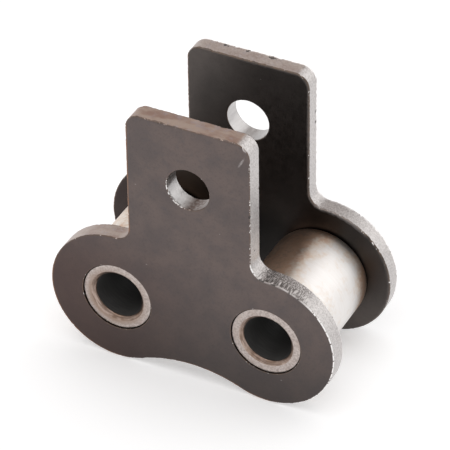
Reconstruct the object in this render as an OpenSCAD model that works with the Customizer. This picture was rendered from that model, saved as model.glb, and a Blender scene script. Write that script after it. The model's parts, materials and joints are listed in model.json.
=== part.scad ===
// Roller link of a drive chain with straight attachment tabs.
// X runs along the chain, Y across it and Z up, with the link standing on its four lobes at Z = 0.

/* [Chain] */
// Pitch: the distance between the two bushing axes
pitch = 19.05; // [17.5:0.05:25.4]
// Clear width between the two plates
inner_width = 12.7; // [8:0.1:20]

/* [Plates] */
// Thickness of each plate
plate_t = 2.4; // [1.5:0.1:4]
// Diameter of the round lobes at the ends of a plate
lobe_d = 17.1; // [14:0.1:18.9]
// Radius of the hollow waist under the plate, tangent to both lobes
waist_r = 16.215; // [10:0.005:30]
// Edge break around the outline and the attachment hole
edge_break = 0.2; // [0.05:0.05:0.4]

/* [Attachment tab] */
// Width of the upright tab
tab_w = 15.45; // [11:0.05:17]
// Height of the attachment hole above the pitch line
hole_height = 18.2; // [15:0.1:26]
// Distance from the attachment hole to the end of the tab
hole_to_end = 8.2; // [6:0.1:12]
// Diameter of the attachment hole
hole_d = 5.3; // [4:0.1:8]
// Radius of the two corners at the end of the tab
tab_corner_r = 1.8; // [1:0.1:4]
// Radius of the fillet between the foot of the tab and each lobe
foot_r = 1.8; // [1:0.1:3]

/* [Bushings] */
// Outer diameter of a bushing, pressed line to line into both plates
bushing_d = 8.8; // [7.6:0.1:9.6]
// Bore of a bushing, which the pin of the next link runs in
bore_d = 6; // [4.5:0.05:6.8]
// How far each bushing end sits below the outer face of its plate
bushing_inset = 0.15; // [0:0.01:0.3]
// Chamfer around the outside of each bushing end
bushing_chamfer = 0.1; // [0.05:0.01:0.25]
// Chamfer at each mouth of the bore
bore_chamfer = 0.42; // [0.1:0.01:0.5]

/* [Rollers] */
// Outer diameter of a roller
roller_d = 11.91; // [11:0.01:14]
// Radius around the outer ends of a roller
roller_edge_r = 0.7; // [0.2:0.05:0.9]
// Chamfer at each mouth of a roller's bore
roller_mouth = 0.2; // [0.05:0.05:0.4]
// Radial running clearance between a roller and its bushing
running_clearance = 0.05; // [0.02:0.01:0.1]
// Side clearance between each roller end and its plate
end_play = 0.15; // [0.05:0.01:0.4]

/* [Hidden] */
$fn = 96;

plate_colour = [0.36, 0.31, 0.30];
bushing_colour = [0.72, 0.68, 0.66];
roller_colour = [0.86, 0.84, 0.81];

// Height of the pitch line above the bottom of the lobes
lobe_r = lobe_d / 2;
pitch_z = lobe_r;

// Centres of the outline's arcs, in the plane of the plate with the pitch line at height 0
half_pitch = pitch / 2;
waist_y = -sqrt(pow(lobe_r + waist_r, 2) - pow(half_pitch, 2));
foot_x = tab_w / 2 + foot_r;
foot_y = sqrt(pow(lobe_r + foot_r, 2) - pow(half_pitch - foot_x, 2));
tab_end = hole_height + hole_to_end;
corner_x = tab_w / 2 - tab_corner_r;
corner_y = tab_end - tab_corner_r;

bushing_len = inner_width + 2 * (plate_t - bushing_inset);
bushing_r = bushing_d / 2;
bushing_wall = (bushing_d - bore_d) / 2;
bushing_edge = min(bushing_chamfer, bushing_wall / 4);
bore_edge = min(bore_chamfer, bushing_wall / 2);

roller_len = inner_width - 2 * end_play;
roller_r = roller_d / 2;
roller_bore_r = bushing_r + running_clearance;
roller_wall = roller_r - roller_bore_r;
roller_round = min(roller_edge_r, roller_wall / 2);
mouth = min(roller_mouth, roller_wall / 4);

// How far a cutter reaches past the faces that it cuts
overcut = 1;

// Disc of plate thickness with its two edges broken
module edged_disc(r) {
    rotate_extrude()
        polygon([
            [0, 0],
            [r - edge_break, 0],
            [r, edge_break],
            [r, plate_t - edge_break],
            [r - edge_break, plate_t],
            [0, plate_t]
        ]);
}

// Bar of plate thickness and width w along +Y, with its four long edges broken
module edged_bar(w, len) {
    rotate([90, 0, 0])
        mirror([0, 0, 1])
            linear_extrude(len)
                polygon([
                    [-w / 2, edge_break],
                    [edge_break - w / 2, 0],
                    [w / 2 - edge_break, 0],
                    [w / 2, edge_break],
                    [w / 2, plate_t - edge_break],
                    [w / 2 - edge_break, plate_t],
                    [edge_break - w / 2, plate_t],
                    [-w / 2, plate_t - edge_break]
                ]);
}

// Round cutter through the plate that leaves a wall of radius r with broken edges
module edged_cutter(r) {
    wide = r + edge_break + overcut;
    rotate_extrude()
        polygon([
            [0, -overcut],
            [wide, -overcut],
            [r, edge_break],
            [r, plate_t - edge_break],
            [wide, plate_t + overcut],
            [0, plate_t + overcut]
        ]);
}

// Web between the lobes: it joins the centres of all the arcs, and the hollow arcs are cut from it
module web() {
    difference() {
        linear_extrude(plate_t)
            polygon([
                [-half_pitch, 0],
                [0, waist_y],
                [half_pitch, 0],
                [foot_x, foot_y],
                [-foot_x, foot_y]
            ]);
        translate([0, waist_y, 0]) edged_cutter(waist_r);
        for (side = [-1, 1])
            translate([side * foot_x, foot_y, 0]) edged_cutter(foot_r);
    }
}

// Upright tab with two rounded corners
module tab() {
    edged_bar(tab_w, corner_y);
    translate([-corner_x, tab_end / 2, 0])
        rotate([0, 0, -90])
            edged_bar(tab_end, 2 * corner_x);
    for (side = [-1, 1])
        translate([side * corner_x, corner_y, 0]) edged_disc(tab_corner_r);
}

// One stamped plate, lying flat with its outer face at height 0
module plate() {
    difference() {
        union() {
            web();
            tab();
            for (side = [-1, 1])
                translate([side * half_pitch, 0, 0]) edged_disc(lobe_r);
        }
        for (side = [-1, 1])
            translate([side * half_pitch, 0, -overcut])
                cylinder(r = bushing_r, h = plate_t + 2 * overcut);
        translate([0, hole_height, 0]) edged_cutter(hole_d / 2);
    }
}

// Stands a plate upright on its lobes, on one side of the link
module standing_plate(side) {
    translate([0, side * (inner_width / 2 + plate_t), pitch_z])
        mirror([0, side > 0 ? 1 : 0, 0])
            rotate([90, 0, 0])
                mirror([0, 0, 1])
                    color(plate_colour) plate();
}

// Puts a turned piece of length len on the axis at one end of the link
module on_axis(side, len) {
    translate([side * half_pitch, len / 2, pitch_z])
        rotate([90, 0, 0])
            children();
}

// Plain bushing with chamfered ends
module bushing(side) {
    color(bushing_colour)
        on_axis(side, bushing_len)
            rotate_extrude()
                polygon([
                    [bore_d / 2 + bore_edge, 0],
                    [bushing_r - bushing_edge, 0],
                    [bushing_r, bushing_edge],
                    [bushing_r, bushing_len - bushing_edge],
                    [bushing_r - bushing_edge, bushing_len],
                    [bore_d / 2 + bore_edge, bushing_len],
                    [bore_d / 2, bushing_len - bore_edge],
                    [bore_d / 2, bore_edge]
                ]);
}

// Half section of a roller: a straight wall with round outer ends
module roller_section() {
    polygon([
        [roller_bore_r + mouth, 0],
        [roller_r - roller_round, 0],
        [roller_r, roller_round],
        [roller_r, roller_len - roller_round],
        [roller_r - roller_round, roller_len],
        [roller_bore_r + mouth, roller_len],
        [roller_bore_r, roller_len - mouth],
        [roller_bore_r, mouth]
    ]);
    for (end_y = [roller_round, roller_len - roller_round])
        translate([roller_r - roller_round, end_y]) circle(roller_round);
}

// Roller that turns freely on its bushing
module roller(side) {
    color(roller_colour)
        on_axis(side, roller_len)
            rotate_extrude()
                roller_section();
}

module front_plate() { standing_plate(-1); }
module rear_plate() { standing_plate(1); }
module left_bushing() { bushing(-1); }
module right_bushing() { bushing(1); }
module left_roller() { roller(-1); }
module right_roller() { roller(1); }

front_plate();
rear_plate();
left_bushing();
right_bushing();
left_roller();
right_roller();
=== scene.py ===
import json
import math
import random
from collections import namedtuple

import bmesh
import bpy
from mathutils import Euler, Matrix, Vector, noise


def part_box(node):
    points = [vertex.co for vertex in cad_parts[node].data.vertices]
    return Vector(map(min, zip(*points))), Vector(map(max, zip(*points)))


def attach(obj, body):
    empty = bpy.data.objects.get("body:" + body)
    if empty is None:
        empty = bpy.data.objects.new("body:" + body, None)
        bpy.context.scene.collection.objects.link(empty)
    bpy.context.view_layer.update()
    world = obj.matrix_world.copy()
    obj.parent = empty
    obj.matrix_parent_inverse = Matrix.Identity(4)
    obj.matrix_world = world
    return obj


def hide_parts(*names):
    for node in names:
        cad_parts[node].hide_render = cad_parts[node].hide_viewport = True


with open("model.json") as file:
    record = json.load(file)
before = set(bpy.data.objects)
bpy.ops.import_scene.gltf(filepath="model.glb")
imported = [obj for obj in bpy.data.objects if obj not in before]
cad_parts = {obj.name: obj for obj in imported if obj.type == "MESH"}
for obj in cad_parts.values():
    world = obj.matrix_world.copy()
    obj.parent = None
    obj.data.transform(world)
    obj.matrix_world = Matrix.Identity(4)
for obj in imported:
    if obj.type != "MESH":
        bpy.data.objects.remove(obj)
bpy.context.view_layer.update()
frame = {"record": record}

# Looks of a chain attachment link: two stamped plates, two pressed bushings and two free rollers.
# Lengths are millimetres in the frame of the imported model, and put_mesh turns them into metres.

MM = 0.001


# Sizes read from the frame

def mount(name):
    return next(m for m in frame["record"]["mounts"] if m["name"] == name)


def box_mm(node):
    low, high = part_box(node)
    return low / MM, high / MM


left_bore = mount("left_pin_bore")
right_bore = mount("right_pin_bore")
tab_bore = mount("attachment_bore")
PITCH = (right_bore["pos_m"][0] - left_bore["pos_m"][0]) / MM
PITCH_Z = left_bore["pos_m"][2] / MM
BORE_R = left_bore["dims"]["r_mm"]
HOLE_Z = tab_bore["pos_m"][2] / MM - PITCH_Z
HOLE_R = tab_bore["dims"]["r_mm"]

plate_low, plate_high = box_mm("front_plate")
PLATE_T = plate_high.y - plate_low.y
PLATE_FACE_Y = -plate_low.y
LOBE_R = (plate_high.x - plate_low.x - PITCH) / 2
TAB_END = plate_high.z - PITCH_Z

bushing_low, bushing_high = box_mm("left_bushing")
BUSHING_R = (bushing_high.x - bushing_low.x) / 2
BUSHING_END = bushing_high.y

roller_low, roller_high = box_mm("left_roller")
ROLLER_R = (roller_high.x - roller_low.x) / 2
ROLLER_END = roller_high.y

# Driving sizes of a plate's outline
TAB_W = 15.45
CORNER_R = 1.8
FOOT_R = 1.8
WAIST_R = 16.215

# Edge radius of the attachment hole and of the bushing seats, and the steps round any plate edge
HOLE_ROUND = 0.14
SEAT_ROUND = 0.04
EDGE_STEPS = 4

# Driving sizes of the turned pieces. A roller's radius falls by ROLLER_ROUND over the last ROLLER_FALL.
BUSHING_CHAMFER = 0.1
BORE_CHAMFER = 0.42
ROLLER_ROUND = 0.35
ROLLER_FALL = 1.2
ROLLER_MOUTH = 0.2
RUNNING_CLEARANCE = 0.05
TURN_STEPS = 192

# Spacing of the points along the outline and round the holes
GRAIN_STEP = 0.08
HOLE_STEP = 0.15

# Grain of the sheared walls
GRAIN_SIZE = 0.5
GRAIN_DEPTH = 0.03

# Waver of the plates' edges: its fine part, and swells where the noise lies in or above SWELL
RAG_SIZE = 0.4
RAG_SHARE = 0.5
WAVE_SIZE = 0.8
WAVE_RADIUS = 0.16
SWELL = (0.5, 0.75)


# Outline of a plate: points with outward normals, seen from the front with the pitch line at height 0

HALF = PITCH / 2
WAIST_Z = -math.sqrt((LOBE_R + WAIST_R) ** 2 - HALF ** 2)
WAIST_ANGLE = math.degrees(math.atan2(-WAIST_Z, HALF))
FOOT_X = TAB_W / 2 + FOOT_R
FOOT_Z = math.sqrt((LOBE_R + FOOT_R) ** 2 - (HALF - FOOT_X) ** 2)
FOOT_ANGLE = math.degrees(math.atan2(FOOT_Z, FOOT_X - HALF))
CORNER_X = TAB_W / 2 - CORNER_R
CORNER_Z = TAB_END - CORNER_R


def arc(centre, radius, start, end, hollow=False, step=GRAIN_STEP):
    count = math.ceil(math.radians(abs(end - start)) * radius / step)
    side = -1 if hollow else 1
    points = []
    for i in range(count):
        angle = math.radians(start + (end - start) * i / count)
        out = Vector((math.cos(angle), math.sin(angle)))
        points.append((Vector(centre) + out * radius, out * side))
    return points


def line(start, end):
    start, end = Vector(start), Vector(end)
    along = (end - start).normalized()
    count = math.ceil((end - start).length / GRAIN_STEP)
    out = Vector((along.y, -along.x))
    return [(start.lerp(end, i / count), out) for i in range(count)]


def plate_outline():
    return [
        *arc((HALF, 0), LOBE_R, WAIST_ANGLE - 180, FOOT_ANGLE),
        *arc((FOOT_X, FOOT_Z), FOOT_R, FOOT_ANGLE - 180, -180, hollow=True),
        *line((TAB_W / 2, FOOT_Z), (TAB_W / 2, CORNER_Z)),
        *arc((CORNER_X, CORNER_Z), CORNER_R, 0, 90),
        *line((CORNER_X, TAB_END), (-CORNER_X, TAB_END)),
        *arc((-CORNER_X, CORNER_Z), CORNER_R, 90, 180),
        *line((-TAB_W / 2, CORNER_Z), (-TAB_W / 2, FOOT_Z)),
        *arc((-FOOT_X, FOOT_Z), FOOT_R, 0, -FOOT_ANGLE, hollow=True),
        *arc((-HALF, 0), LOBE_R, 180 - FOOT_ANGLE, 360 - WAIST_ANGLE),
        *arc((0, WAIST_Z), WAIST_R, 180 - WAIST_ANGLE, WAIST_ANGLE, hollow=True),
    ]


def round_hole(centre, radius):
    return arc(centre, radius, 360, 0, hollow=True, step=HOLE_STEP)


# Mesh helpers

def put_mesh(name, bm, materials, body, node):
    bmesh.ops.recalc_face_normals(bm, faces=bm.faces)
    bmesh.ops.scale(bm, vec=(MM, MM, MM), verts=bm.verts)
    for face in bm.faces:
        face.smooth = True
    mesh = bpy.data.meshes.new(name)
    bm.to_mesh(mesh)
    bm.free()
    for material in materials:
        mesh.materials.append(material)
    piece = bpy.data.objects.new(name, mesh)
    bpy.context.scene.collection.objects.link(piece)
    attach(piece, body)
    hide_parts(node)


def join_rings(bm, lower, upper, material):
    for i, corner in enumerate(lower):
        j = (i + 1) % len(lower)
        face = bm.faces.new((corner, lower[j], upper[j], upper[i]))
        face.material_index = material


def ring_edges(bm, ring):
    return [bm.edges.get((v, ring[(i + 1) % len(ring)])) for i, v in enumerate(ring)]


# Noise is turned off the axes and laid in two crossed layers, because its cells would show as rows
# on the walls
NOISE_TURN = Euler((0.6, 0.9, 0.35))
NOISE_AXES = NOISE_TURN.to_matrix()
CROSSED_AXES = Euler((-1.1, 0.4, 1.9)).to_matrix()
CROSSED_SIZE = 0.62
LAYER_SHARE = 0.6


def noise_at(spot, size):
    """Noise from about -1 to 1 whose features are about size millimetres across."""
    coarse = noise.noise(NOISE_AXES @ spot / size)
    fine = noise.noise(CROSSED_AXES @ spot / (CROSSED_SIZE * size))
    return LAYER_SHARE * coarse + LAYER_SHARE * fine


def noise_share(spot, size):
    """The same noise from about 0 to 1."""
    return 0.5 + 0.5 * noise_at(spot, size)


def smooth_step(low, high, value):
    t = min(max((value - low) / (high - low), 0), 1)
    return t * t * (3 - 2 * t)


# Stampings: what sets the two plates apart. rounds and burrs are the radius and the burr of the outer and
# the inner edge, which also paints a highlight along it, bend_burr is the burr where hole_burr_at puts it
# and the burr with a painted highlight where burr_and_highlight_at puts it, and torn, tint and hole_tint
# are shares. A nick is its place on the outline, its depth from the outer face, its radius and how far it
# is pressed in.

Stamping = namedtuple(
    "Stamping", "name node side seed rounds burrs bend_burr torn tint hole_tint nicks",
)

FRONT = Stamping(
    name="front_plate_stamping",
    node="front_plate",
    side=-1,
    seed=3.0,
    rounds=(0.16, 0.16),
    burrs=(0.1, 0.2),
    bend_burr=1.0,
    torn=1.0,
    tint=1.0,
    hole_tint=1.0,
    nicks=((TAB_W / 2, 16.9, 0.1, 0.3, 0.08), (TAB_W / 2, 11.6, 1.1, 0.2, 0.08)),
)
REAR = Stamping(
    name="rear_plate_stamping",
    node="rear_plate",
    side=1,
    seed=31.0,
    rounds=(0.55, 0.38),
    burrs=(1.0, 0.0),
    bend_burr=0.1,
    torn=0.4,
    tint=0.6,
    hole_tint=0.1,
    nicks=(
        (-3.7, TAB_END, 0.5, 0.3, 0.13),
        (-3.3, TAB_END, 0.55, 0.2, 0.1),
        (-0.9, TAB_END, 0.5, 0.28, 0.14),
        (1.95, TAB_END, 0.5, 0.26, 0.14),
        (2.3, TAB_END, 0.6, 0.3, 0.16),
        (2.7, TAB_END, 0.5, 0.22, 0.12),
        (TAB_W / 2, 20.6, 0.5, 0.26, 0.14),
        (TAB_W / 2, 19.2, 0.55, 0.25, 0.12),
    ),
)
SMALL_NICKS = 26
SMALL_NICK_RADIUS = (0.12, 0.3)
SMALL_NICK_SINK = (0.03, 0.07)

# Places of a plate's materials in its mesh
OUTER_FACE, INNER_FACE, SHEARED, PUNCHED = range(4)


def all_nicks(stamping):
    """The stamping's own nicks and small ones strewn along both edges."""
    draw = random.Random(int(stamping.seed))
    outline = plate_outline()
    strewn = []
    for _ in range(SMALL_NICKS):
        point, _ = draw.choice(outline)
        depth = draw.choice((0, PLATE_T))
        radius = draw.uniform(*SMALL_NICK_RADIUS)
        sink = draw.uniform(*SMALL_NICK_SINK)
        strewn.append((point.x, point.y, depth, radius, sink))
    return (*stamping.nicks, *strewn)


def nicked(nicks, point, depth):
    """How far the nicks press a spot of the wall in."""
    sunk = 0
    for x, z, at, radius, sink in nicks:
        gap = math.hypot(point.x - x, point.y - z, depth - at)
        if gap < radius:
            sunk = max(sunk, sink * (1 - (gap / radius) ** 2))
    return sunk


# Section of a wall: from a strip on the outer face, over both rounded edges, to a strip on the inner
# face. A row is its kind, whether it is on the outer side, how far it lies in from the outline and its
# depth. On a face the strip is added to the edge radius, on an edge both are in edge radii, and on the
# wall the depth is a share of the way from edge to edge.

WEAR_REACH = 0.5
FACE_STRIPS = (1.0, WEAR_REACH, 0.03)
WALL_ROWS = 16
WALL_MARGIN = 0.015
FACE_ROW, EDGE_ROW, WALL_ROW = range(3)
Row = namedtuple("Row", "kind outer across down")


def wall_section():
    rows = [Row(FACE_ROW, True, strip, 0) for strip in FACE_STRIPS]
    turns = [math.radians(90 * i / EDGE_STEPS) for i in range(EDGE_STEPS + 1)]
    rows += [Row(EDGE_ROW, True, 1 - math.sin(t), 1 - math.cos(t)) for t in turns]
    stops = [WALL_MARGIN, *(i / WALL_ROWS for i in range(1, WALL_ROWS)), 1 - WALL_MARGIN]
    rows += [Row(WALL_ROW, True, 0, stop) for stop in stops]
    rows += [Row(EDGE_ROW, False, 1 - math.sin(t), 1 - math.cos(t)) for t in reversed(turns)]
    rows += [Row(FACE_ROW, False, strip, 0) for strip in reversed(FACE_STRIPS)]
    return rows


def row_spot(row, outer_round, inner_round):
    """Inset from the outline and depth from the outer face of a row's vertex."""
    if row.kind == WALL_ROW:
        return 0, outer_round + row.down * (PLATE_T - outer_round - inner_round)
    edge = outer_round if row.outer else inner_round
    inset = edge + row.across if row.kind == FACE_ROW else edge * row.across
    depth = edge * row.down
    return inset, depth if row.outer else PLATE_T - depth


def row_material(lower, upper, wall):
    if WALL_ROW in (lower.kind, upper.kind):
        return wall
    return OUTER_FACE if lower.outer else INNER_FACE


def ragged(point, seed, radius, wave):
    """Radius of a worn edge, which wavers along the outline and swells here and there by wave."""
    spot = Vector((point.x, seed, point.y))
    fine = noise_share(spot, RAG_SIZE)
    swell = smooth_step(*SWELL, noise_share(spot, WAVE_SIZE))
    return radius * (1 - RAG_SHARE * fine) + wave * WAVE_RADIUS * swell


# The torn stretch on top of the right lobe: degrees round the lobe from the foot of the tab to part
# way down, how it fades at both ends, and its long teeth with finer crumbs behind them
TORN_FROM, TORN_TO = 100, 46
TORN_FROM_FADE, TORN_TO_FADE = 6, 16
TORN_DEPTH = 0.06
TORN_GRAIN = 0.4
TORN_GAIN = 1.5
TOOTH_STRETCH = 4
TOOTH_GAIN = 1.5
CRUMB_GRAIN = 0.7
CRUMBS_BEHIND = (0.4, 0.6)


def torn_at(point):
    """How badly the wall is torn at a point of the outline, from 0 to 1."""
    if point.x < 0 or not 0 < point.y < FOOT_Z:
        return 0
    angle = math.degrees(math.atan2(point.y, point.x - HALF))
    begun = smooth_step(TORN_TO, TORN_TO + TORN_TO_FADE, angle)
    over = smooth_step(TORN_FROM - TORN_FROM_FADE, TORN_FROM, angle)
    return begun * (1 - over)


def torn_depth(spot, depth):
    """Depth of the torn surface: long teeth near the outer face and crumbs behind them."""
    tooth = noise_at(Vector((spot.x, spot.y / TOOTH_STRETCH, spot.z)), TORN_GRAIN)
    crumb = noise_at(spot, CRUMB_GRAIN * TORN_GRAIN)
    behind = smooth_step(*CRUMBS_BEHIND, depth / PLATE_T)
    rough = (1 - behind) * abs(tooth) * TOOTH_GAIN + behind * abs(crumb)
    return TORN_DEPTH * min(TORN_GAIN * rough, 1)


# The side that the walls are tinted on by heat: up and a little to the left
TINT_SIDE = Vector((-0.4, 0.917))
TINT_FADE = (0.74, 0.93)
LEFT_LOBE_TINT = 0.75
RIGHT_LOBE_TINT = 0.25


def tint_at(point, out):
    facing = smooth_step(*TINT_FADE, out.dot(TINT_SIDE))
    if point.y > FOOT_Z:
        return facing
    return facing * (LEFT_LOBE_TINT if point.x < 0 else RIGHT_LOBE_TINT)


# The sides whose edges are rusty, down and to the left, and those that have a burr, which on the
# outline's edges that face right is also a painted highlight
RUST_SIDE = Vector((-0.8, -0.6))
RUST_FADE = (0.3, 0.9)
BURR_HIGHLIGHT_FADE = (0, 0.35)
UPPER_BURR_HIGHLIGHT = 0.2
HOLE_BURR = 0.7
HOLE_BURR_SIDE = Vector((0.8, 0.6))
HOLE_BURR_FADE = (0.3, 0.9)


def burr_and_highlight_at(point, out):
    """How bright the burr and the painted highlight of the outline are: most on the right lobe and its
    fillet, which face right, little on the tab.
    """
    return smooth_step(*BURR_HIGHLIGHT_FADE, out.x) * (1 if point.y < FOOT_Z else UPPER_BURR_HIGHLIGHT)


def hole_burr_at(out):
    """How bright a hole's burr is: it lies on the lower left, where the wall faces up to the right."""
    return HOLE_BURR * smooth_step(*HOLE_BURR_FADE, out.dot(HOLE_BURR_SIDE))


def sunk_at(point, depth, seed, torn, nicks):
    """How far a spot of the wall lies below the smooth wall."""
    spot = Vector((point.x, depth + seed, point.y))
    grain = GRAIN_DEPTH * noise_share(spot, GRAIN_SIZE)
    return max(grain, torn * torn_depth(spot, depth), nicked(nicks, point, depth))


# The burr layer also carries the painted highlight along the outline's edges
LAYERS = ("wear", "pit", "torn", "tint", "burr", "rust")


def loft_wall(bm, path, stamping, rounds, material, nicks=(), outline=False):
    """Wall along a path through the plate, and its first and last ring."""
    layers = {name: bm.verts.layers.float[name] for name in LAYERS}
    section = wall_section()
    columns = []
    for point, out in path:
        torn = stamping.torn * torn_at(point) if outline else 0
        tint = tint_at(point, out) * (stamping.tint if outline else stamping.hole_tint)
        wave = tint if outline else 0
        edges = [ragged(point, stamping.seed + k, r, wave) for k, r in enumerate(rounds)]
        columns.append((point, out, torn, tint, edges))
    rings = []
    for row in section:
        ring = []
        on_face = row.kind == FACE_ROW
        edge_burr_and_highlight = stamping.burrs[0 if row.outer else 1]
        for point, out, torn, tint, edges in columns:
            inset, depth = row_spot(row, *edges)
            sunk = sunk_at(point, depth, stamping.seed, torn, nicks)
            moved = point - out * (inset + sunk)
            y = stamping.side * (PLATE_FACE_Y - depth)
            vert = bm.verts.new((moved.x, y, moved.y + PITCH_Z))
            vert[layers["wear"]] = 1 - smooth_step(0, WEAR_REACH, inset)
            vert[layers["pit"]] = 0 if on_face else min(sunk / TORN_DEPTH, 1)
            vert[layers["torn"]] = 0 if on_face else torn
            vert[layers["tint"]] = tint
            if outline:
                # Burr of bare steel, with a painted highlight on the edges that face right
                vert[layers["burr"]] = max(edge_burr_and_highlight, stamping.bend_burr * burr_and_highlight_at(point, out))
                vert[layers["rust"]] = smooth_step(*RUST_FADE, out.dot(RUST_SIDE))
            elif material == PUNCHED:
                vert[layers["burr"]] = stamping.bend_burr * hole_burr_at(out)
            ring.append(vert)
        rings.append(ring)
    for k in range(len(rings) - 1):
        join_rings(bm, rings[k], rings[k + 1], row_material(section[k], section[k + 1], material))
    return rings[0], rings[-1]


def build_plate(stamping, materials):
    bm = bmesh.new()
    for name in LAYERS:
        bm.verts.layers.float.new(name)
    nicks = all_nicks(stamping)
    hole = round_hole((0, HOLE_Z), HOLE_R)
    walls = [
        loft_wall(bm, plate_outline(), stamping, stamping.rounds, SHEARED, nicks, outline=True),
        loft_wall(bm, hole, stamping, (HOLE_ROUND, HOLE_ROUND), PUNCHED),
    ]
    for end in (-1, 1):
        seat = round_hole((end * HALF, 0), BUSHING_R)
        walls.append(loft_wall(bm, seat, stamping, (SEAT_ROUND, SEAT_ROUND), INNER_FACE))
    for pick, material in ((0, OUTER_FACE), (1, INNER_FACE)):
        edges = [e for rings in walls for e in ring_edges(bm, rings[pick])]
        filled = bmesh.ops.triangle_fill(bm, use_beauty=True, edges=edges)
        for item in filled["geom"]:
            if isinstance(item, bmesh.types.BMFace):
                item.material_index = material
    put_mesh(stamping.name, bm, materials, "link", stamping.node)


# Turned pieces: a closed profile of (radius, y, material), swept round the axis at one end of the link

def lathe(name, profile, end, materials, body, node, tint):
    bm = bmesh.new()
    layer = bm.verts.layers.float.new("tint")
    rings = []
    for radius, y, _ in profile:
        ring = []
        for i in range(TURN_STEPS):
            angle = 2 * math.pi * i / TURN_STEPS
            x = end * HALF + radius * math.cos(angle)
            vert = bm.verts.new((x, y, PITCH_Z + radius * math.sin(angle)))
            vert[layer] = tint(math.degrees(angle), radius, y)
            ring.append(vert)
        rings.append(ring)
    for k, (_, _, material) in enumerate(profile):
        join_rings(bm, rings[k], rings[(k + 1) % len(rings)], material)
    put_mesh(name, bm, materials, body, node)


def mirrored_profile(half):
    """Closes the half profile on the +Y side, which starts at y = 0, with its mirror image.

    A point's material runs on to the next point.
    """
    spots = [(r, y) for r, y, _ in half]
    kinds = [kind for _, _, kind in half]
    back = [(r, -y) for r, y in reversed(spots[1:])]
    back_kinds = [*reversed(kinds[:-1])]
    return [(r, y, k) for (r, y), k in zip(spots + back, kinds + back_kinds)]


# Places of a bushing's materials in its mesh
GROUND_END, BORE_MOUTH, BORE, OUTSIDE = range(4)

# Width of the narrow rows that keep a bushing's edges crisp, and the rows across its end
RIM = 0.03
END_ROWS = 5

# Heat tint of a bushing: how far it reaches down the bore, the side opposite to its strongest, its
# share all the way round, and its strength on the left and on the right bushing
BORE_TINT_DEPTH = 0.14
BORE_TINT_FROM = 45
TINT_ALL_ROUND = 0.2
END_BROWN = {-1: 1.3, 1: 0.05}


def bushing_profile():
    mouth_r = BORE_R + BORE_CHAMFER
    mouth_y = BUSHING_END - BORE_CHAMFER
    edge_r = BUSHING_R - BUSHING_CHAMFER
    across = mouth_r + 2 * RIM - edge_r
    return mirrored_profile([
        (BUSHING_R, 0, OUTSIDE),
        (BUSHING_R, BUSHING_END - BUSHING_CHAMFER - RIM, OUTSIDE),
        (BUSHING_R, BUSHING_END - BUSHING_CHAMFER, OUTSIDE),
        *((edge_r + across * i / END_ROWS, BUSHING_END, GROUND_END) for i in range(END_ROWS + 1)),
        (mouth_r, BUSHING_END - RIM / 2, BORE_MOUTH),
        (BORE_R + RIM, mouth_y + RIM, BORE_MOUTH),
        (BORE_R, mouth_y - RIM, BORE),
        (BORE_R, mouth_y - 4 * RIM, BORE),
        (BORE_R, mouth_y - BORE_TINT_DEPTH / 2, BORE),
        (BORE_R, mouth_y - BORE_TINT_DEPTH, BORE),
    ])


def bushing_tint(end):
    """Heat tint that fades down the bore and out across the end, and is stronger on the lower left."""
    def tint(angle, radius, y):
        mouth_y = BUSHING_END - BORE_CHAMFER
        fade = smooth_step(mouth_y - BORE_TINT_DEPTH, mouth_y, abs(y))
        fade *= 1 - smooth_step(BORE_R + BORE_CHAMFER, BUSHING_R - BUSHING_CHAMFER, radius)
        lower_left = 0.5 - 0.5 * math.cos(math.radians(angle - BORE_TINT_FROM))
        return fade * END_BROWN[end] * (TINT_ALL_ROUND + (1 - TINT_ALL_ROUND) * lower_left)
    return tint


# Places of a roller's materials in its mesh, its rows along the straight part and round each end
ROLLER_OUTSIDE, ROLLER_BORE = range(2)
ROLLER_ROWS = 16
ROLLER_ROUND_STEPS = 14


def roller_profile():
    bore_r = BUSHING_R + RUNNING_CLEARANCE
    shoulder = ROLLER_END - ROLLER_FALL
    half = [(ROLLER_R, shoulder * i / ROLLER_ROWS, ROLLER_OUTSIDE) for i in range(ROLLER_ROWS)]
    for i in range(ROLLER_ROUND_STEPS + 1):
        turn = math.radians(90 * i / ROLLER_ROUND_STEPS)
        radius = ROLLER_R - ROLLER_ROUND * (1 - math.cos(turn))
        half.append((radius, shoulder + ROLLER_FALL * math.sin(turn), ROLLER_OUTSIDE))
    half.append((bore_r + ROLLER_MOUTH, ROLLER_END, ROLLER_OUTSIDE))
    half.append((bore_r, ROLLER_END - ROLLER_MOUTH, ROLLER_BORE))
    return mirrored_profile(half)


# Heat stain along one side of a roller, with painted shade and a painted reflection of the dark plates in
# it: where it starts on the left and on the right roller, and the degrees past that over which it rises,
# darkens with more painted shade and falls
STAIN_AND_SHADE_FROM = {-1: 200, 1: 60}
STAIN_AND_SHADE_RISE = (0, 52)
# Painted shade that deepens the stain towards the roller's silhouette
STAIN_PAINTED_SHADE = 0.35
STAIN_PAINTED_SHADE_RISE = (55, 88)
STAIN_AND_SHADE_FALL = (95, 145)

# Even tint of the left and the right roller, and the tint towards both ends: the part of the half length
# that it rises over, its strength, and the side where painted shade adds more of it
STRAW = {-1: 0.5, 1: 0.0}
END_TINT = (0.4, 0.98)
END_SHARE = 0.42
# Painted shade on the lower right of both ends, on top of their tint
END_SHADE_SIDE = -22
END_SHADE_SIDE_FADE = (0.5, 0.95)
END_PAINTED_SHADE = 2.4


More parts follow.
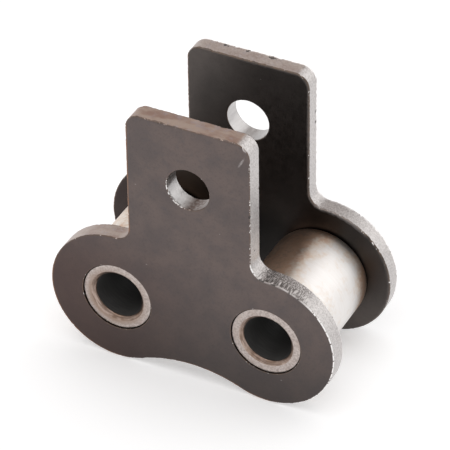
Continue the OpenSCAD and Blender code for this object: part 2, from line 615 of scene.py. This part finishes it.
def roller_tint_and_shade(end):
    """Heat tint on one roller with painted shade: towards both its ends, more on their lower right, and a
    stained band along one side that also paints shade and the reflection of the plates.
    """
    def tint(angle, _, y):
        past = (angle - STAIN_AND_SHADE_FROM[end]) % 360
        # Stained band, which also paints shade and the reflection of the plates, darkened further by
        # painted shade
        stain_and_shade = smooth_step(*STAIN_AND_SHADE_RISE, past) + STAIN_PAINTED_SHADE * smooth_step(*STAIN_PAINTED_SHADE_RISE, past)
        stain_and_shade *= 1 - smooth_step(*STAIN_AND_SHADE_FALL, past)
        side = smooth_step(*END_SHADE_SIDE_FADE, math.cos(math.radians(angle - END_SHADE_SIDE)))
        share = END_SHARE * (1 + END_PAINTED_SHADE * side)
        return max(STRAW[end], stain_and_shade) + share * smooth_step(*END_TINT, abs(y) / ROLLER_END)
    return tint


# Node helpers

# Spans of a noise's values: over the wide one a change is soft, and over the middle one sharper
WIDE = (0.3, 0.7)
MIDDLE = (0.35, 0.65)


def new_material(name):
    material = bpy.data.materials.new(name)
    material.use_nodes = True
    tree = material.node_tree
    return material, tree, tree.nodes["Principled BSDF"]


def put(tree, kind, inputs=None, **settings):
    """Adds a node. Inputs are values or output sockets, by name or place."""
    node = tree.nodes.new("ShaderNode" + kind)
    for key, value in settings.items():
        setattr(node, key, value)
    for key, value in (inputs or {}).items():
        if isinstance(value, bpy.types.NodeSocket):
            tree.links.new(value, node.inputs[key])
        else:
            node.inputs[key].default_value = value
    return node


def object_place(tree):
    return put(tree, "TexCoord").outputs["Object"]


def separate(tree, place):
    return put(tree, "SeparateXYZ", {0: place}).outputs


def grains(tree, place, size, detail, stretch=(1, 1, 1)):
    """Noise with features of about size millimetres, longer along the axes with stretch over 1."""
    spot = put(tree, "Mapping", {
        "Vector": place,
        "Scale": tuple(1 / (size * MM * s) for s in stretch),
        "Rotation": NOISE_TURN,
    }).outputs["Vector"]
    return put(tree, "TexNoise", {"Vector": spot, "Scale": 1.0, "Detail": detail}).outputs["Fac"]


def ranged(tree, value, span, to=(0.0, 1.0)):
    """Maps one span of values smoothly onto another, and stays at its ends beyond them."""
    return put(tree, "MapRange", {
        "Value": value,
        "From Min": span[0],
        "From Max": span[1],
        "To Min": to[0],
        "To Max": to[1],
    }, interpolation_type="SMOOTHSTEP").outputs["Result"]


def maths(tree, operation, a, b):
    return put(tree, "Math", {0: a, 1: b}, operation=operation).outputs["Value"]


def plus(tree, a, b):
    return maths(tree, "ADD", a, b)


def times(tree, a, b):
    return maths(tree, "MULTIPLY", a, b)


def blend(tree, share, a, b):
    """Colour a where share is 0 and b where it is 1."""
    node = put(tree, "Mix", {"Factor": share}, data_type="RGBA")
    for place, value in ((6, a), (7, b)):
        if isinstance(value, bpy.types.NodeSocket):
            tree.links.new(value, node.inputs[place])
        else:
            node.inputs[place].default_value = (*value, 1)
    return node.outputs[2]


def between(tree, share, a, b):
    """Value a where share is 0 and b where it is 1."""
    return put(tree, "Mix", {"Factor": share, 2: a, 3: b}).outputs[0]


def attribute(tree, name):
    return put(tree, "Attribute", attribute_name=name).outputs["Fac"]


def bumped(tree, height, depth, strength):
    """Normal of a surface whose relief is depth millimetres high."""
    inputs = {"Height": height, "Distance": depth * MM, "Strength": strength}
    return put(tree, "Bump", inputs).outputs["Normal"]


def dress(tree, shader, colour, rough, normal, metallic=1.0):
    shader.inputs["Metallic"].default_value = metallic
    for name, socket in (("Base Color", colour), ("Roughness", rough), ("Normal", normal)):
        tree.links.new(socket, shader.inputs[name])


# Colours. A pair is the darker and the lighter tone that a noise runs between.

BARE_STEEL = (0.62, 0.585, 0.575)
# Near-white steel of a burr, which also paints a highlight along the edges
BURR_HIGHLIGHT_STEEL = (0.9, 0.88, 0.87)
TAN = (0.52, 0.42, 0.365)
RIM_BROWN = (0.17, 0.12, 0.09)
RUST = (0.3, 0.15, 0.08)
SOOT = (0.05, 0.045, 0.043)
TORN_EDGE = (0.36, 0.335, 0.325)

OUTER_OXIDE = ((0.117, 0.098, 0.095), (0.144, 0.115, 0.107))
INNER_OXIDE = ((0.089, 0.078, 0.073), (0.102, 0.089, 0.083))
COOL_OXIDE = (0.1, 0.095, 0.1)
# Brown of the painted shade low on the left of the outer faces
LEFT_SHADE_BROWN = (0.07, 0.042, 0.037)
# Colours of the painted shade on the inner faces: near black, and browner low on the left
INNER_SHADE = (0.02, 0.02, 0.02)
BROWN_SHADE = (0.026, 0.014, 0.013)

SHEARED_STEEL = ((0.4, 0.375, 0.365), (0.58, 0.555, 0.545))
# Light grains of a sheared wall, partly painted glints
LIGHT_GRAIN_GLINT = (0.85, 0.825, 0.815)
DARK_SPARK = (0.2, 0.185, 0.18)
HEAT_BROWN = ((0.3, 0.2, 0.16), (0.4, 0.31, 0.26))
HEAT_GREY = (0.36, 0.3, 0.3)
TORN_STEEL = ((0.12, 0.106, 0.101), (0.49, 0.462, 0.452))

HOLE_STEEL = ((0.47, 0.455, 0.45), (0.54, 0.525, 0.52))
HOLE_BROWN = (0.16, 0.12, 0.105)

GROUND_STEEL = ((0.37, 0.315, 0.29), (0.6, 0.535, 0.505))
GROUND_CLOUD = (0.44, 0.355, 0.31)
GROUND_BROWN = (0.33, 0.24, 0.19)
MOUTH_STEEL = ((0.27, 0.19, 0.145), (0.45, 0.35, 0.3))
MOUTH_RING = (0.17, 0.12, 0.095)
OILY_BORE = ((0.064, 0.063, 0.062), (0.086, 0.084, 0.082))
BORE_BROWN = (0.3, 0.19, 0.13)

ROLLER_STEEL = ((0.765, 0.74, 0.72), (0.795, 0.77, 0.755))

# Colours that a roller takes on one after the other, and the span of its tint that brings each. The brown
# and the dark tone also carry painted shade and reflection.
ROLLER_TINTS_AND_SHADE = (
    ((0.02, 0.5), (0.72, 0.63, 0.55)),
    ((0.35, 0.85), (0.6, 0.41, 0.3)),
    # Dark tone, mostly painted shade
    ((0.9, 1.35), (0.42, 0.305, 0.24)),
)

# Roughness of each surface, between its smoothest and its roughest spots
OUTER_ROUGH = (0.34, 0.41)
INNER_ROUGH = (0.36, 0.43)
SHEARED_ROUGH = (0.3, 0.44)
HOLE_ROUGH = (0.27, 0.36)
GROUND_ROUGH = (0.42, 0.58)
MOUTH_ROUGH = (0.32, 0.45)
BORE_ROUGH = (0.4, 0.5)
ROLLER_ROUGH = (0.37, 0.44)

# How a noise or a layer of the mesh brings in a colour: the span of its values, and the colour's share
# at both ends of it
COOL_PATCHES = (0.5, 0.75), (0, 0.3)
FACE_SPECKLE = (0.5, 0.7), (0, 0.14)
BROKEN_MARKS = (0.3, 0.65), (0.25, 1)
UNEVEN_RIM = (0.35, 0.6), (0.15, 0.6)
UNEVEN_RUST = (0.35, 0.6), (0.4, 0.95)
EDGE_NICKS = (0.45, 0.95), (0, 0.85)
WALL_NICKS = (0.6, 0.95), (0, 0.85)
LIGHT_GRAIN_GLINTS = (0.62, 0.74), (0, 0.7)
DARK_SPARKS = (0.27, 0.39), (0.6, 0)
GREY_PATCHES = (0.5, 0.7), (0, 0.6)
HOLE_PATCHES = (0.3, 0.6), (0.65, 1)
GROUND_CLOUDS = (0.45, 0.7), (0, 0.45)
MOUTH_RINGS = (0.42, 0.6), (0, 0.7)

# Spans over which a share runs from 0 to 1: of the wear at an edge, of the readiness of a burr and its
# painted highlight, and of grain
RIM_WEAR = (0.8, 1.0)
RUST_WEAR = (0.6, 0.95)
BURR_HIGHLIGHT_WEAR = (0.86, 0.95)
BURR_HIGHLIGHT_READY = (0.62, 0.74)
SHEARED_GRAIN = (0.3, 0.62)
TEETH = (0.42, 0.63)
SOIL_GRAIN = (0.4, 0.55)
GROUND_GRAIN = (0.3, 0.66)

# How noise shifts the tint of a roller: its span, and the shift at both ends of it
ROLLER_DRIFT = (0.25, 0.75), (-0.2, 0.2)
ROLLER_SPOTS = WIDE, (-0.12, 0.12)

# How far the brightness of a burr and its painted highlight helps it through the noise, how fully tears
# cover the edge and the wall, how fully the tint covers a ground end, and how much the mottle adds to the
# relief of a face
BURR_HIGHLIGHT_HELP = 0.28
TORN_EDGE_SHARE = 0.8
TORN_WALL_SHARE = 0.9
GROUND_TINT_SHARE = 0.75
MOTTLE_RELIEF = 0.6

# Light marks on the outer face of the front plate, and last a painted highlight at its top right corner:
# x, height above the pitch line, length, width, slope and strength
FACE_MARKS_AND_HIGHLIGHT = (
    (-6.6, 17.0, 0.28, 0.12, 0, 0.4),
    (-5.5, 6.1, 0.26, 0.1, 0, 0.4),
    (11.5, -4.9, 0.24, 0.2, 0, 0.5),
    (6.7, 24.05, 2.0, 0.36, 62, 0.4),
    (3.9, 13.4, 0.18, 0.1, 20, 0.4),
    # Painted highlight at the top right corner
    (7.1, TAB_END - 0.55, 0.9, 0.45, -45, 0.8),
)
MARK_DEPTH = 0.4
MARK_FADE = (0.4, 1.0)

# Painted shade on the outer faces, darker towards the bottom: the heights that it fades over, and a
# browner painted shade low on the left
LOW_SHADE_Z = (-6, 18)
LOW_SHADE_SHARE = 0.75
LEFT_SHADE_X = (-16, 6)
LEFT_SHADE_Z = (10, 22)
LEFT_SHADE_SHARE = 0.55

# Painted shade in patches on the inner faces, where the plates face each other: centre and reach along X
# and Z, strength and colour
SHADE_PATCHES = (
    ((-6.0, 10.0), (11.0, 13.0), 0.8, INNER_SHADE),
    ((3.0, 33.5), (9.0, 6.0), 0.25, INNER_SHADE),
    ((-3.5, 27.0), (4.2, 7.0), 0.42, INNER_SHADE),
    ((2.8, 11.0), (4.5, 5.0), 0.65, INNER_SHADE),
    ((13.5, 11.5), (7.0, 8.0), 0.45, INNER_SHADE),
    ((11.5, 15.5), (5.0, 4.0), 0.5, INNER_SHADE),
    ((-16.5, 11.0), (8.0, 9.0), 0.58, BROWN_SHADE),
)
SHADE_PATCH_DEPTH = 60.0
SHADE_PATCH_FADE = (0.4, 1.1)

# Specks: the size of their cells, which lots have one, where a speck ends and its strength
SPECK_CELL = 1.9
SPECK_LOTS = (0.8, 0.85)
SPECK_END = (0.035, 0.06)
SPECK_STRENGTH = 0.3

# How far teeth reach down the torn wall and fade into crumbs, and soil down the hole's wall
TOOTH_LENGTH = 1.1
TOOTH_FADE = 0.3
HOLE_SOIL = 0.5


# Materials

def metres(span):
    return tuple(value * MM for value in span)


def below_front(low, high):
    """Span of y between two depths below the outer face of the front plate, in metres."""
    return metres((low - PLATE_FACE_Y, high - PLATE_FACE_Y))


def gap_from(tree, place, centre, reach, slope=0):
    """Distance from a centre, in reaches along the three axes."""
    spot = put(tree, "Mapping", {
        "Vector": place,
        "Location": Vector(centre) * MM,
        "Rotation": (0, -math.radians(slope), 0),
        "Scale": Vector(reach) * MM,
    }, vector_type="TEXTURE").outputs["Vector"]
    return put(tree, "VectorMath", {0: spot}, operation="LENGTH").outputs["Value"]


def marks_and_highlight(tree, place):
    """Strength of the light marks and of the painted corner highlight on the front plate's outer face,
    and 0 elsewhere.
    """
    found = None
    for x, z, length, width, slope, strength in FACE_MARKS_AND_HIGHLIGHT:
        centre = (x, -PLATE_FACE_Y, z + PITCH_Z)
        gap = gap_from(tree, place, centre, (length / 2, MARK_DEPTH, width / 2), slope)
        near = ranged(tree, gap, MARK_FADE, to=(strength, 0))
        found = maths(tree, "MAXIMUM", found, near) if found else near
    return found


def specks(tree, place):
    """Sparse light specks, fainter than the marks."""
    cells = put(tree, "TexVoronoi", {"Vector": place, "Scale": 1 / (SPECK_CELL * MM)})
    lot = put(tree, "SeparateColor", {"Color": cells.outputs["Color"]}).outputs[0]
    dot = ranged(tree, cells.outputs["Distance"], SPECK_END, to=(SPECK_STRENGTH, 0))
    return times(tree, ranged(tree, lot, SPECK_LOTS), dot)


def outer_shade_and_marks(tree, place, colour, fine):
    """Painted shade low on an outer face, browner on the left, and the light marks with a painted
    highlight.
    """
    where = separate(tree, place)
    # Painted shade: the outer face darkens towards the bottom
    low_shade = ranged(tree, where["Z"], metres(LOW_SHADE_Z), to=(LOW_SHADE_SHARE, 0))
    colour = blend(tree, low_shade, colour, SOOT)
    # Painted shade: browner low on the left of the outer face
    left = ranged(tree, where["X"], metres(LEFT_SHADE_X), to=(LEFT_SHADE_SHARE, 0))
    low = ranged(tree, where["Z"], metres(LEFT_SHADE_Z), to=(1, 0))
    colour = blend(tree, times(tree, left, low), colour, LEFT_SHADE_BROWN)
    # Light marks and the painted corner highlight, in bare steel
    broken = ranged(tree, fine, *BROKEN_MARKS)
    return blend(tree, times(tree, marks_and_highlight(tree, place), broken), colour, BARE_STEEL)


def inner_shade(tree, place, colour):
    """Painted shade in patches on the inner faces, browner low on the left."""
    for (x, z), (reach_x, reach_z), strength, tone in SHADE_PATCHES:
        gap = gap_from(tree, place, (x, 0, z), (reach_x, SHADE_PATCH_DEPTH, reach_z))
        # Painted shade on the inner face
        colour = blend(tree, ranged(tree, gap, SHADE_PATCH_FADE, to=(strength, 0)), colour, tone)
    return colour


def edge_worn(tree, place, colour, mottle):
    """The colour with a brown or rusty rim, a bright or tan burr with a painted highlight on the edge,
    and sooty nicks.
    """
    wear = attribute(tree, "wear")
    rim = times(tree, ranged(tree, wear, RIM_WEAR), ranged(tree, mottle, *UNEVEN_RIM))
    colour = blend(tree, rim, colour, RIM_BROWN)
    rust = times(tree, ranged(tree, wear, RUST_WEAR), ranged(tree, mottle, *UNEVEN_RUST))
    colour = blend(tree, times(tree, rust, attribute(tree, "rust")), colour, RUST)
    # Bright burr with a painted highlight on the edge
    bright = blend(tree, attribute(tree, "tint"), BURR_HIGHLIGHT_STEEL, TAN)
    helped = times(tree, attribute(tree, "burr"), BURR_HIGHLIGHT_HELP)
    ready = plus(tree, grains(tree, place, size=0.3, detail=3), helped)
    burr = times(tree, ranged(tree, wear, BURR_HIGHLIGHT_WEAR), ranged(tree, ready, BURR_HIGHLIGHT_READY))
    colour = blend(tree, burr, colour, bright)
    torn = times(tree, attribute(tree, "torn"), TORN_EDGE_SHARE)
    colour = blend(tree, torn, colour, TORN_EDGE)
    nick = ranged(tree, attribute(tree, "pit"), *EDGE_NICKS)
    return blend(tree, nick, colour, SOOT)


def face_material(name, tones, roughness, outer):
    """Rolled face of a plate: blued brown-grey by heat, satin, with painted shade, light marks and a
    painted highlight on the outer face, specks and worn edges.
    """
    material, tree, shader = new_material(name)
    place = object_place(tree)
    clouds = grains(tree, place, size=3.2, detail=3)
    mottle = grains(tree, place, size=0.7, detail=4)
    speckle = grains(tree, place, size=0.26, detail=2)
    fine = grains(tree, place, size=0.16, detail=2)
    colour = blend(tree, ranged(tree, clouds, WIDE), *tones)
    cool = COOL_OXIDE if outer else tones[0]
    colour = blend(tree, ranged(tree, mottle, *COOL_PATCHES), colour, cool)
    colour = blend(tree, ranged(tree, speckle, *FACE_SPECKLE), colour, SOOT)
    if outer:
        colour = outer_shade_and_marks(tree, place, colour, fine)
    else:
        colour = inner_shade(tree, place, colour)
    colour = blend(tree, specks(tree, place), colour, BARE_STEEL)
    colour = edge_worn(tree, place, colour, mottle)
    rough = ranged(tree, mottle, WIDE, to=roughness)
    height = plus(tree, fine, times(tree, mottle, MOTTLE_RELIEF))
    dress(tree, shader, colour, rough, bumped(tree, height, depth=0.006, strength=0.6))
    return material


def heat_brown(tree, place):
    """Brown of the walls that heat has tinted, with greyer patches."""
    clouds = grains(tree, place, size=1.3, detail=3, stretch=(1.6, 0.8, 1.6))
    patches = grains(tree, place, size=0.8, detail=2)
    brown = blend(tree, ranged(tree, clouds, MIDDLE), *HEAT_BROWN)
    return blend(tree, ranged(tree, patches, *GREY_PATCHES), brown, HEAT_GREY)


def tear_height(tree, place):
    """Relief of the torn stretch: long teeth near the outer face of the front plate, then crumbs."""
    tooth = grains(tree, place, size=0.17, detail=1, stretch=(1, 5, 1))
    crumb = grains(tree, place, size=0.13, detail=1)
    fade = below_front(TOOTH_LENGTH - TOOTH_FADE, TOOTH_LENGTH + TOOTH_FADE)
    return between(tree, ranged(tree, separate(tree, place)["Y"], fade), tooth, crumb)


def sheared_material():
    """Sheared wall of a plate: bare granular steel whose light grains are partly painted glints, brown
    from heat on one side and dark where torn.
    """
    material, tree, shader = new_material("plate_sheared_edge")
    place = object_place(tree)
    grain = grains(tree, place, size=0.2, detail=3)
    spark = grains(tree, place, size=0.11, detail=2)
    colour = blend(tree, ranged(tree, grain, SHEARED_GRAIN), *SHEARED_STEEL)
    # Light grains, partly painted glints
    colour = blend(tree, ranged(tree, spark, *LIGHT_GRAIN_GLINTS), colour, LIGHT_GRAIN_GLINT)
    colour = blend(tree, ranged(tree, spark, *DARK_SPARKS), colour, DARK_SPARK)
    colour = blend(tree, attribute(tree, "tint"), colour, heat_brown(tree, place))
    torn = attribute(tree, "torn")
    nick = ranged(tree, attribute(tree, "pit"), *WALL_NICKS)
    colour = blend(tree, times(tree, nick, maths(tree, "SUBTRACT", 1.0, torn)), colour, SOOT)
    tear = tear_height(tree, place)
    teeth = blend(tree, ranged(tree, tear, TEETH), *TORN_STEEL)
    colour = blend(tree, times(tree, torn, TORN_WALL_SHARE), colour, teeth)
    rough = ranged(tree, grain, WIDE, to=SHEARED_ROUGH)
    height = between(tree, torn, grain, tear)
    dress(tree, shader, colour, rough, bumped(tree, height, depth=0.02, strength=0.6))
    return material


def hole_material():
    """Wall of a punched hole: bright and smooth, with faint streaks along the stroke, brown below."""
    material, tree, shader = new_material("plate_hole_wall")
    place = object_place(tree)
    streak = grains(tree, place, size=0.4, detail=3, stretch=(1, 5, 1))
    grain = grains(tree, place, size=0.3, detail=3)
    colour = blend(tree, ranged(tree, streak, MIDDLE), *HOLE_STEEL)
    tint = times(tree, attribute(tree, "tint"), ranged(tree, grain, *HOLE_PATCHES))
    colour = blend(tree, tint, colour, HOLE_BROWN)
    front = ranged(tree, separate(tree, place)["Y"], below_front(HOLE_ROUND, HOLE_SOIL), to=(1, 0))
    soil = times(tree, front, ranged(tree, grain, SOIL_GRAIN))
    colour = blend(tree, times(tree, soil, attribute(tree, "burr")), colour, SOOT)
    rough = ranged(tree, streak, WIDE, to=HOLE_ROUGH)
    dress(tree, shader, colour, rough, bumped(tree, streak, depth=0.005, strength=0.4))
    return material


def bushing_end_material():
    """Ground end of a bushing: pale, fine-grained and slightly pink, browner towards the bore."""
    material, tree, shader = new_material("bushing_end")
    place = object_place(tree)
    grain = grains(tree, place, size=0.25, detail=3)
    clouds = grains(tree, place, size=1.4, detail=2)
    colour = blend(tree, ranged(tree, grain, GROUND_GRAIN), *GROUND_STEEL)
    colour = blend(tree, ranged(tree, clouds, *GROUND_CLOUDS), colour, GROUND_CLOUD)
    tint = times(tree, attribute(tree, "tint"), GROUND_TINT_SHARE)
    colour = blend(tree, tint, colour, GROUND_BROWN)
    rough = ranged(tree, grain, WIDE, to=GROUND_ROUGH)
    dress(tree, shader, colour, rough, bumped(tree, grain, depth=0.012, strength=0.6))
    return material


def bore_mouth_material():
    """Chamfer at a bushing's mouth, tinted straw and brown by heat, with rings from turning."""
    material, tree, shader = new_material("bushing_bore_mouth")
    place = object_place(tree)
    clouds = grains(tree, place, size=0.9, detail=3)
    rings = grains(tree, place, size=0.35, detail=2, stretch=(5, 0.3, 5))
    colour = blend(tree, ranged(tree, clouds, MIDDLE), *MOUTH_STEEL)
    colour = blend(tree, ranged(tree, rings, *MOUTH_RINGS), colour, MOUTH_RING)
    rough = ranged(tree, clouds, WIDE, to=MOUTH_ROUGH)
    dress(tree, shader, colour, rough, bumped(tree, rings, depth=0.008, strength=0.5))
    return material


def bore_material():
    """Dark oily bore, brown near its mouth. The oil hides the metal, so it isn't metallic."""
    material, tree, shader = new_material("oily_bore")
    place = object_place(tree)
    rings = grains(tree, place, size=0.4, detail=2, stretch=(4, 0.4, 4))
    colour = blend(tree, ranged(tree, rings, MIDDLE), *OILY_BORE)
    colour = blend(tree, attribute(tree, "tint"), colour, BORE_BROWN)
    rough = ranged(tree, rings, WIDE, to=BORE_ROUGH)
    normal = bumped(tree, rings, depth=0.004, strength=0.4)
    dress(tree, shader, colour, rough, normal, metallic=0.0)
    return material


def roller_material():
    """Turned roller: bright satin steel with faint rings, brown where the heat has tinted it, and painted
    shade and reflection along one side and towards the ends.
    """
    material, tree, shader = new_material("roller_steel")
    place = object_place(tree)
    rings = grains(tree, place, size=0.5, detail=3, stretch=(8, 0.25, 8))
    clouds = grains(tree, place, size=1.7, detail=3)
    grain = grains(tree, place, size=0.45, detail=2)
    colour = blend(tree, ranged(tree, rings, MIDDLE), *ROLLER_STEEL)
    drift = ranged(tree, clouds, *ROLLER_DRIFT)
    spots = ranged(tree, grain, *ROLLER_SPOTS)
    # The tint layer carries heat tint and painted shade
    tint = plus(tree, attribute(tree, "tint"), plus(tree, drift, spots))
    for span, tone in ROLLER_TINTS_AND_SHADE:
        colour = blend(tree, ranged(tree, tint, span), colour, tone)
    rough = ranged(tree, clouds, WIDE, to=ROLLER_ROUGH)
    dress(tree, shader, colour, rough, bumped(tree, rings, depth=0.002, strength=0.25))
    return material


# Stage and light. The ceiling's start and full height and the glow's spread are in degrees, and the
# sizes of floor and lamp in millimetres.

WHITE = (1.0, 1.0, 1.0)
CEILING = (0.56, 0.52, 0.5)
CEILING_STARTS, CEILING_FULL = 18, 42
GLOW_SIDE = (0.6, 0.71, 0.37)
GLOW_SPREAD = (40, 12)
GLOW_LEVEL = (1.45, 1.44, 1.43)
AMBIENT = 0.6
FLOOR_GLOW = 0.33
FLOOR_WHITE = (0.92, 0.93, 0.94, 1)
FLOOR_HALF = 1500.0
FLOOR_SQUARES = 4
KEY_HEIGHT = 1000.0
KEY_SIZE = 1400.0
KEY_POWER = 6.8


def seen_directly(tree):
    """1 for camera, gloss and transmission rays, which show a surface, and 0 for those that light it."""
    path = put(tree, "LightPath").outputs
    shown = maths(tree, "MAXIMUM", path["Is Camera Ray"], path["Is Glossy Ray"])
    return maths(tree, "MAXIMUM", shown, path["Is Transmission Ray"])


def floor_material():
    material = bpy.data.materials.new("pale_floor")
    material.use_nodes = True
    tree = material.node_tree
    tree.nodes.clear()
    matt = put(tree, "BsdfDiffuse", {"Color": FLOOR_WHITE})
    strength = times(tree, seen_directly(tree), FLOOR_GLOW)
    glow = put(tree, "Emission", {"Color": (*WHITE, 1), "Strength": strength})
    both = put(tree, "AddShader", {0: matt.outputs[0], 1: glow.outputs[0]})
    put(tree, "OutputMaterial", {"Surface": both.outputs[0]})
    return material


def build_floor():
    bm = bmesh.new()
    bmesh.ops.create_grid(
        bm, x_segments=FLOOR_SQUARES, y_segments=FLOOR_SQUARES, size=FLOOR_HALF * MM,
    )
    mesh = bpy.data.meshes.new("floor")
    bm.to_mesh(mesh)
    bm.free()
    mesh.materials.append(floor_material())
    floor = bpy.data.objects.new("floor", mesh)
    bpy.context.scene.collection.objects.link(floor)


def build_world():
    """White studio that turns grey overhead and is brightest at the back right."""
    world = bpy.data.worlds.new("studio")
    bpy.context.scene.world = world
    world.use_nodes = True
    tree = world.node_tree
    tree.nodes.clear()
    direction = put(tree, "TexCoord").outputs["Generated"]
    heights = [math.sin(math.radians(a)) for a in (CEILING_STARTS, CEILING_FULL)]
    tone = blend(tree, ranged(tree, separate(tree, direction)["Z"], heights), WHITE, CEILING)
    glow_side = Vector(GLOW_SIDE).normalized()
    towards = put(tree, "VectorMath", {0: direction, 1: glow_side}, operation="DOT_PRODUCT")
    spread = [math.cos(math.radians(a)) for a in GLOW_SPREAD]
    tone = blend(tree, ranged(tree, towards.outputs["Value"], spread), tone, GLOW_LEVEL)
    strength = ranged(tree, seen_directly(tree), (0, 1), to=(AMBIENT, 1))
    sky = put(tree, "Background", {"Color": tone, "Strength": strength})
    put(tree, "OutputWorld", {"Surface": sky.outputs[0]})


def build_lamp():
    lamp = bpy.data.lights.new("soft_box", "AREA")
    lamp.shape = "SQUARE"
    lamp.size = KEY_SIZE * MM
    lamp.energy = KEY_POWER
    soft_box = bpy.data.objects.new("soft_box", lamp)
    soft_box.location = (0, 0, KEY_HEIGHT * MM)
    bpy.context.scene.collection.objects.link(soft_box)


# The photograph's camera: where it looks, from which side and how far, and how long its lens is.
# The clip distances are metres.
CAMERA_AIM = (0.129, 0.0, 16.171)
CAMERA_AZIMUTH = 27.03
CAMERA_ELEVATION = 36.578
CAMERA_ROLL = -0.816
CAMERA_RANGE = 425.5
SENSOR = 36.0
LENS = 296.83
CLIP_NEAR, CLIP_FAR = 0.01, 10.0


def build_camera():
    angles = (CAMERA_AZIMUTH, CAMERA_ELEVATION, CAMERA_ROLL)
    azimuth, elevation, roll = (math.radians(a) for a in angles)
    back = Vector((
        math.sin(azimuth) * math.cos(elevation),
        -math.cos(azimuth) * math.cos(elevation),
        math.sin(elevation),
    ))
    level = Vector((math.cos(azimuth), math.sin(azimuth), 0))
    upright = back.cross(level)
    right = math.cos(roll) * level + math.sin(roll) * upright
    up = math.cos(roll) * upright - math.sin(roll) * level
    data = bpy.data.cameras.new("camera")
    data.sensor_width = SENSOR
    data.lens = LENS
    data.clip_start = CLIP_NEAR
    data.clip_end = CLIP_FAR
    camera = bpy.data.objects.new("camera", data)
    turned = Matrix((right, up, back)).transposed().to_4x4()
    spot = (Vector(CAMERA_AIM) + CAMERA_RANGE * back) * MM
    camera.matrix_world = Matrix.Translation(spot) @ turned
    bpy.context.scene.collection.objects.link(camera)
    bpy.context.scene.camera = camera


def build_link():
    outer_face = face_material("plate_outer_face", OUTER_OXIDE, OUTER_ROUGH, outer=True)
    inner_face = face_material("plate_inner_face", INNER_OXIDE, INNER_ROUGH, outer=False)
    plate_looks = [outer_face, inner_face, sheared_material(), hole_material()]
    build_plate(FRONT, plate_looks)
    build_plate(REAR, plate_looks)
    bore = bore_material()
    bushing_looks = [bushing_end_material(), bore_mouth_material(), bore, inner_face]
    roller_looks = [roller_material(), bore]
    for end, word in ((-1, "left"), (1, "right")):
        bushing, roller = word + "_bushing", word + "_roller"
        lathe(
            bushing + "_turned", bushing_profile(), end, bushing_looks,
            "link", bushing, bushing_tint(end),
        )
        lathe(
            roller + "_turned", roller_profile(), end, roller_looks,
            roller, roller, roller_tint_and_shade(end),
        )


build_camera()
build_world()
build_lamp()
build_floor()
build_link()
bpy.context.scene.view_settings.view_transform = "Standard"
